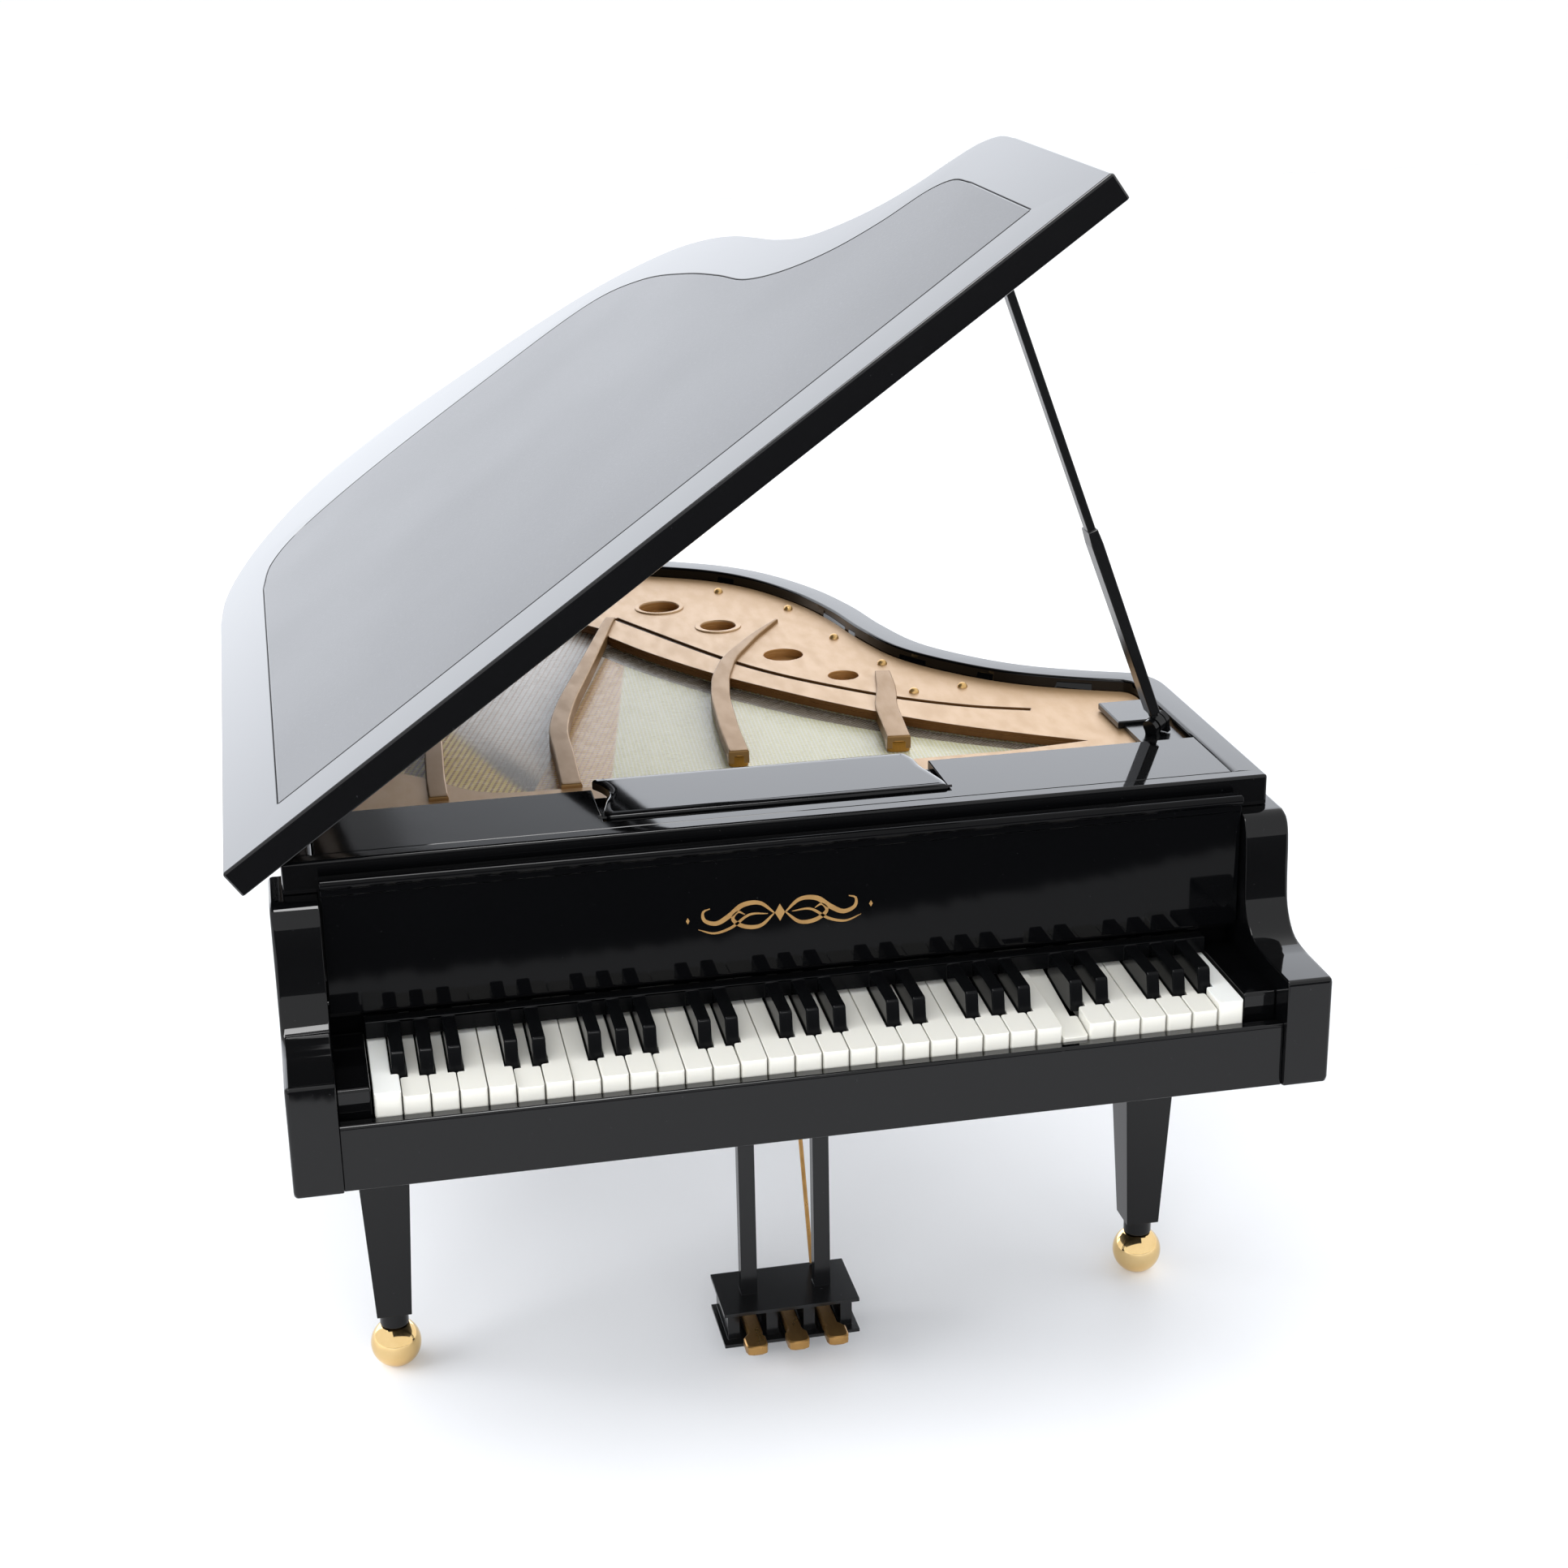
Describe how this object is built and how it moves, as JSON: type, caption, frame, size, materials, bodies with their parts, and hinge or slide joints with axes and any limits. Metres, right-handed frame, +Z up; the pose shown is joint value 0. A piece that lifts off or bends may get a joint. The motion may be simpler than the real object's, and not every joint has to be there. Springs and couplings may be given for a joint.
{
  "type": "miniature grand piano",
  "caption": "Small decorative grand piano on ball feet: raised lid on a prop, hinged fallboard, music desk, pivoting white keys, pedal lyre and gold-coloured plate over strings.",
  "frame": {"origin": "centre of the whole bounding box in X and Y, on the resting plane under the ball feet", "axes": "+X towards the treble end of the keyboard (the player's right), +Y from the keys to the tail, +Z up"},
  "size_m": [0.3114, 0.3794, 0.3696],
  "materials": {
    "gloss_black": "high-gloss black piano lacquer look",
    "satin_black": "satin black",
    "ivory_white": "smooth ivory white",
    "ebony_black": "semi-gloss black",
    "plate_gold": "satin peach-gold paint",
    "string_sheet": "printed sheet with fine string lines",
    "polished_gold": "polished",
    "pedal_bronze": "satin bronze-gold"
  },
  "bodies": {
    "piano_case": {"case_rim": "gloss_black", "bottom_board": "satin_black", "left_arm": "gloss_black", "right_arm": "gloss_black", "front_rail": "gloss_black", "left_key_block": "gloss_black", "right_key_block": "gloss_black", "front_top_panel": "gloss_black", "gold_plate": "plate_gold", "string_sheet": "string_sheet", "prop_bracket": "satin_black", "lid_hinge_strip": "satin_black", "leg_left": "gloss_black", "leg_right": "gloss_black", "leg_rear": "gloss_black", "ball_foot_left": "polished_gold", "ball_foot_right": "polished_gold", "ball_foot_rear": "polished_gold", "lyre_frame": "gloss_black", "lyre_brace": "pedal_bronze", "black_key_strip": "ebony_black"},
    "lid": {"lid": "gloss_black"},
    "lid_prop": {"lid_prop": "satin_black"},
    "fallboard": {"fallboard": "gloss_black"},
    "music_desk": {"music_desk": "gloss_black"},
    "pedal_left": {"pedal_left": "pedal_bronze"},
    "pedal_middle": {"pedal_middle": "pedal_bronze"},
    "pedal_right": {"pedal_right": "pedal_bronze"},
    "white_key_01": {"white_key_01": "ivory_white"},
    "white_key_02": {"white_key_02": "ivory_white"},
    "white_key_03": {"white_key_03": "ivory_white"},
    "white_key_04": {"white_key_04": "ivory_white"},
    "white_key_05": {"white_key_05": "ivory_white"},
    "white_key_06": {"white_key_06": "ivory_white"},
    "white_key_07": {"white_key_07": "ivory_white"},
    "white_key_08": {"white_key_08": "ivory_white"},
    "white_key_09": {"white_key_09": "ivory_white"},
    "white_key_10": {"white_key_10": "ivory_white"},
    "white_key_11": {"white_key_11": "ivory_white"},
    "white_key_12": {"white_key_12": "ivory_white"},
    "white_key_13": {"white_key_13": "ivory_white"},
    "white_key_14": {"white_key_14": "ivory_white"},
    "white_key_15": {"white_key_15": "ivory_white"},
    "white_key_16": {"white_key_16": "ivory_white"},
    "white_key_17": {"white_key_17": "ivory_white"},
    "white_key_18": {"white_key_18": "ivory_white"},
    "white_key_19": {"white_key_19": "ivory_white"},
    "white_key_20": {"white_key_20": "ivory_white"},
    "white_key_21": {"white_key_21": "ivory_white"},
    "white_key_22": {"white_key_22": "ivory_white"},
    "white_key_23": {"white_key_23": "ivory_white"},
    "white_key_24": {"white_key_24": "ivory_white"},
    "white_key_25": {"white_key_25": "ivory_white"},
    "white_key_26": {"white_key_26": "ivory_white"},
    "white_key_27": {"white_key_27": "ivory_white"},
    "white_key_28": {"white_key_28": "ivory_white"},
    "white_key_29": {"white_key_29": "ivory_white"},
    "white_key_30": {"white_key_30": "ivory_white"},
    "white_key_31": {"white_key_31": "ivory_white"},
    "white_key_32": {"white_key_32": "ivory_white"}
  },
  "joints": [
    {"name": "lid_hinge", "type": "hinge", "parent": "piano_case", "child": "lid", "pos_m": [-0.14401, -0.01567, 0.182], "axis": [0, -1, 0], "range_deg": [0, 30]},
    {"name": "lid_prop_hinge", "type": "hinge", "parent": "piano_case", "child": "lid_prop", "pos_m": [0.13424, -0.09267, 0.1907], "axis": [-0.8044, -0.5171, -0.2926], "range_deg": [0, 72]},
    {"name": "fallboard_hinge", "type": "hinge", "parent": "piano_case", "child": "fallboard", "pos_m": [0.00574, -0.14607, 0.147], "axis": [1, 0, 0], "range_deg": [0, 88]},
    {"name": "music_desk_hinge", "type": "hinge", "parent": "piano_case", "child": "music_desk", "pos_m": [0.00434, -0.12847, 0.189], "axis": [1, 0, 0], "range_deg": [0, 72]},
    {"name": "pedal_left_hinge", "type": "hinge", "parent": "piano_case", "child": "pedal_left", "pos_m": [-0.00656, -0.10967, 0.0106], "axis": [1, 0, 0], "range_deg": [0, 3.5], "stiffness_Nm_per_rad": 0.03, "springref_deg": -5.73},
    {"name": "pedal_middle_hinge", "type": "hinge", "parent": "piano_case", "child": "pedal_middle", "pos_m": [0.00594, -0.10967, 0.0106], "axis": [1, 0, 0], "range_deg": [0, 3.5], "stiffness_Nm_per_rad": 0.03, "springref_deg": -5.73},
    {"name": "pedal_right_hinge", "type": "hinge", "parent": "piano_case", "child": "pedal_right", "pos_m": [0.01764, -0.10967, 0.0106], "axis": [1, 0, 0], "range_deg": [0, 3.5], "stiffness_Nm_per_rad": 0.03, "springref_deg": -5.73},
    {"name": "white_key_01_hinge", "type": "hinge", "parent": "piano_case", "child": "white_key_01", "pos_m": [-0.11672, -0.13367, 0.1304], "axis": [1, 0, 0], "range_deg": [0, 7], "stiffness_Nm_per_rad": 0.02, "springref_deg": -6.88},
    {"name": "white_key_02_hinge", "type": "hinge", "parent": "piano_case", "child": "white_key_02", "pos_m": [-0.10883, -0.13367, 0.1304], "axis": [1, 0, 0], "range_deg": [0, 5], "stiffness_Nm_per_rad": 0.02, "springref_deg": -6.88},
    {"name": "white_key_03_hinge", "type": "hinge", "parent": "piano_case", "child": "white_key_03", "pos_m": [-0.10094, -0.13367, 0.1304], "axis": [1, 0, 0], "range_deg": [0, 5], "stiffness_Nm_per_rad": 0.02, "springref_deg": -6.88},
    {"name": "white_key_04_hinge", "type": "hinge", "parent": "piano_case", "child": "white_key_04", "pos_m": [-0.09305, -0.13367, 0.1304], "axis": [1, 0, 0], "range_deg": [0, 5], "stiffness_Nm_per_rad": 0.02, "springref_deg": -6.88},
    {"name": "white_key_05_hinge", "type": "hinge", "parent": "piano_case", "child": "white_key_05", "pos_m": [-0.08516, -0.13367, 0.1304], "axis": [1, 0, 0], "range_deg": [0, 5], "stiffness_Nm_per_rad": 0.02, "springref_deg": -6.88},
    {"name": "white_key_06_hinge", "type": "hinge", "parent": "piano_case", "child": "white_key_06", "pos_m": [-0.07728, -0.13367, 0.1304], "axis": [1, 0, 0], "range_deg": [0, 3.6], "stiffness_Nm_per_rad": 0.02, "springref_deg": -6.88},
    {"name": "white_key_07_hinge", "type": "hinge", "parent": "piano_case", "child": "white_key_07", "pos_m": [-0.06939, -0.13367, 0.1304], "axis": [1, 0, 0], "range_deg": [0, 4.4], "stiffness_Nm_per_rad": 0.02, "springref_deg": -6.88},
    {"name": "white_key_08_hinge", "type": "hinge", "parent": "piano_case", "child": "white_key_08", "pos_m": [-0.0615, -0.13367, 0.1304], "axis": [1, 0, 0], "range_deg": [0, 3.6], "stiffness_Nm_per_rad": 0.02, "springref_deg": -6.88},
    {"name": "white_key_09_hinge", "type": "hinge", "parent": "piano_case", "child": "white_key_09", "pos_m": [-0.05361, -0.13367, 0.1304], "axis": [1, 0, 0], "range_deg": [0, 4.4], "stiffness_Nm_per_rad": 0.02, "springref_deg": -6.88},
    {"name": "white_key_10_hinge", "type": "hinge", "parent": "piano_case", "child": "white_key_10", "pos_m": [-0.04572, -0.13367, 0.1304], "axis": [1, 0, 0], "range_deg": [0, 4.4], "stiffness_Nm_per_rad": 0.02, "springref_deg": -6.88},
    {"name": "white_key_11_hinge", "type": "hinge", "parent": "piano_case", "child": "white_key_11", "pos_m": [-0.03784, -0.13367, 0.1304], "axis": [1, 0, 0], "range_deg": [0, 3.6], "stiffness_Nm_per_rad": 0.02, "springref_deg": -6.88},
    {"name": "white_key_12_hinge", "type": "hinge", "parent": "piano_case", "child": "white_key_12", "pos_m": [-0.02995, -0.13367, 0.1304], "axis": [1, 0, 0], "range_deg": [0, 3.6], "stiffness_Nm_per_rad": 0.02, "springref_deg": -6.88},
    {"name": "white_key_13_hinge", "type": "hinge", "parent": "piano_case", "child": "white_key_13", "pos_m": [-0.02206, -0.13367, 0.1304], "axis": [1, 0, 0], "range_deg": [0, 3.6], "stiffness_Nm_per_rad": 0.02, "springref_deg": -6.88},
    {"name": "white_key_14_hinge", "type": "hinge", "parent": "piano_case", "child": "white_key_14", "pos_m": [-0.01417, -0.13367, 0.1304], "axis": [1, 0, 0], "range_deg": [0, 4.4], "stiffness_Nm_per_rad": 0.02, "springref_deg": -6.88},
    {"name": "white_key_15_hinge", "type": "hinge", "parent": "piano_case", "child": "white_key_15", "pos_m": [-0.00628, -0.13367, 0.1304], "axis": [1, 0, 0], "range_deg": [0, 4.4], "stiffness_Nm_per_rad": 0.02, "springref_deg": -6.88},
    {"name": "white_key_16_hinge", "type": "hinge", "parent": "piano_case", "child": "white_key_16", "pos_m": [0.0016, -0.13367, 0.1304], "axis": [1, 0, 0], "range_deg": [0, 4.4], "stiffness_Nm_per_rad": 0.02, "springref_deg": -6.88},
    {"name": "white_key_17_hinge", "type": "hinge", "parent": "piano_case", "child": "white_key_17", "pos_m": [0.00949, -0.13367, 0.1304], "axis": [1, 0, 0], "range_deg": [0, 4.4], "stiffness_Nm_per_rad": 0.02, "springref_deg": -6.88},
    {"name": "white_key_18_hinge", "type": "hinge", "parent": "piano_case", "child": "white_key_18", "pos_m": [0.01738, -0.13367, 0.1304], "axis": [1, 0, 0], "range_deg": [0, 4.4], "stiffness_Nm_per_rad": 0.02, "springref_deg": -6.88},
    {"name": "white_key_19_hinge", "type": "hinge", "parent": "piano_case", "child": "white_key_19", "pos_m": [0.02527, -0.13367, 0.1304], "axis": [1, 0, 0], "range_deg": [0, 4.4], "stiffness_Nm_per_rad": 0.02, "springref_deg": -6.88},
    {"name": "white_key_20_hinge", "type": "hinge", "parent": "piano_case", "child": "white_key_20", "pos_m": [0.03316, -0.13367, 0.1304], "axis": [1, 0, 0], "range_deg": [0, 4.4], "stiffness_Nm_per_rad": 0.02, "springref_deg": -6.88},
    {"name": "white_key_21_hinge", "type": "hinge", "parent": "piano_case", "child": "white_key_21", "pos_m": [0.04104, -0.13367, 0.1304], "axis": [1, 0, 0], "range_deg": [0, 4.4], "stiffness_Nm_per_rad": 0.02, "springref_deg": -6.88},
    {"name": "white_key_22_hinge", "type": "hinge", "parent": "piano_case", "child": "white_key_22", "pos_m": [0.04893, -0.13367, 0.1304], "axis": [1, 0, 0], "range_deg": [0, 4.4], "stiffness_Nm_per_rad": 0.02, "springref_deg": -6.88},
    {"name": "white_key_23_hinge", "type": "hinge", "parent": "piano_case", "child": "white_key_23", "pos_m": [0.05682, -0.13367, 0.1304], "axis": [1, 0, 0], "range_deg": [0, 4.4], "stiffness_Nm_per_rad": 0.02, "springref_deg": -6.88},
    {"name": "white_key_24_hinge", "type": "hinge", "parent": "piano_case", "child": "white_key_24", "pos_m": [0.06471, -0.13367, 0.1304], "axis": [1, 0, 0], "range_deg": [0, 4.4], "stiffness_Nm_per_rad": 0.02, "springref_deg": -6.88},
    {"name": "white_key_25_hinge", "type": "hinge", "parent": "piano_case", "child": "white_key_25", "pos_m": [0.0726, -0.13367, 0.1304], "axis": [1, 0, 0], "range_deg": [0, 4.4], "stiffness_Nm_per_rad": 0.02, "springref_deg": -6.88},
    {"name": "white_key_26_hinge", "type": "hinge", "parent": "piano_case", "child": "white_key_26", "pos_m": [0.08048, -0.13367, 0.1304], "axis": [1, 0, 0], "range_deg": [-4.4, 0]},
    {"name": "white_key_27_hinge", "type": "hinge", "parent": "piano_case", "child": "white_key_27", "pos_m": [0.08837, -0.13367, 0.1304], "axis": [1, 0, 0], "range_deg": [0, 4.4], "stiffness_Nm_per_rad": 0.02, "springref_deg": -6.88},
    {"name": "white_key_28_hinge", "type": "hinge", "parent": "piano_case", "child": "white_key_28", "pos_m": [0.09626, -0.13367, 0.1304], "axis": [1, 0, 0], "range_deg": [0, 4.4], "stiffness_Nm_per_rad": 0.02, "springref_deg": -6.88},
    {"name": "white_key_29_hinge", "type": "hinge", "parent": "piano_case", "child": "white_key_29", "pos_m": [0.10415, -0.13367, 0.1304], "axis": [1, 0, 0], "range_deg": [0, 4.4], "stiffness_Nm_per_rad": 0.02, "springref_deg": -6.88},
    {"name": "white_key_30_hinge", "type": "hinge", "parent": "piano_case", "child": "white_key_30", "pos_m": [0.11204, -0.13367, 0.1304], "axis": [1, 0, 0], "range_deg": [0, 4.4], "stiffness_Nm_per_rad": 0.02, "springref_deg": -6.88},
    {"name": "white_key_31_hinge", "type": "hinge", "parent": "piano_case", "child": "white_key_31", "pos_m": [0.11992, -0.13367, 0.1304], "axis": [1, 0, 0], "range_deg": [0, 4.4], "stiffness_Nm_per_rad": 0.02, "springref_deg": -6.88},
    {"name": "white_key_32_hinge", "type": "hinge", "parent": "piano_case", "child": "white_key_32", "pos_m": [0.12781, -0.13367, 0.1304], "axis": [1, 0, 0], "range_deg": [0, 7], "stiffness_Nm_per_rad": 0.02, "springref_deg": -6.88}
  ]
}
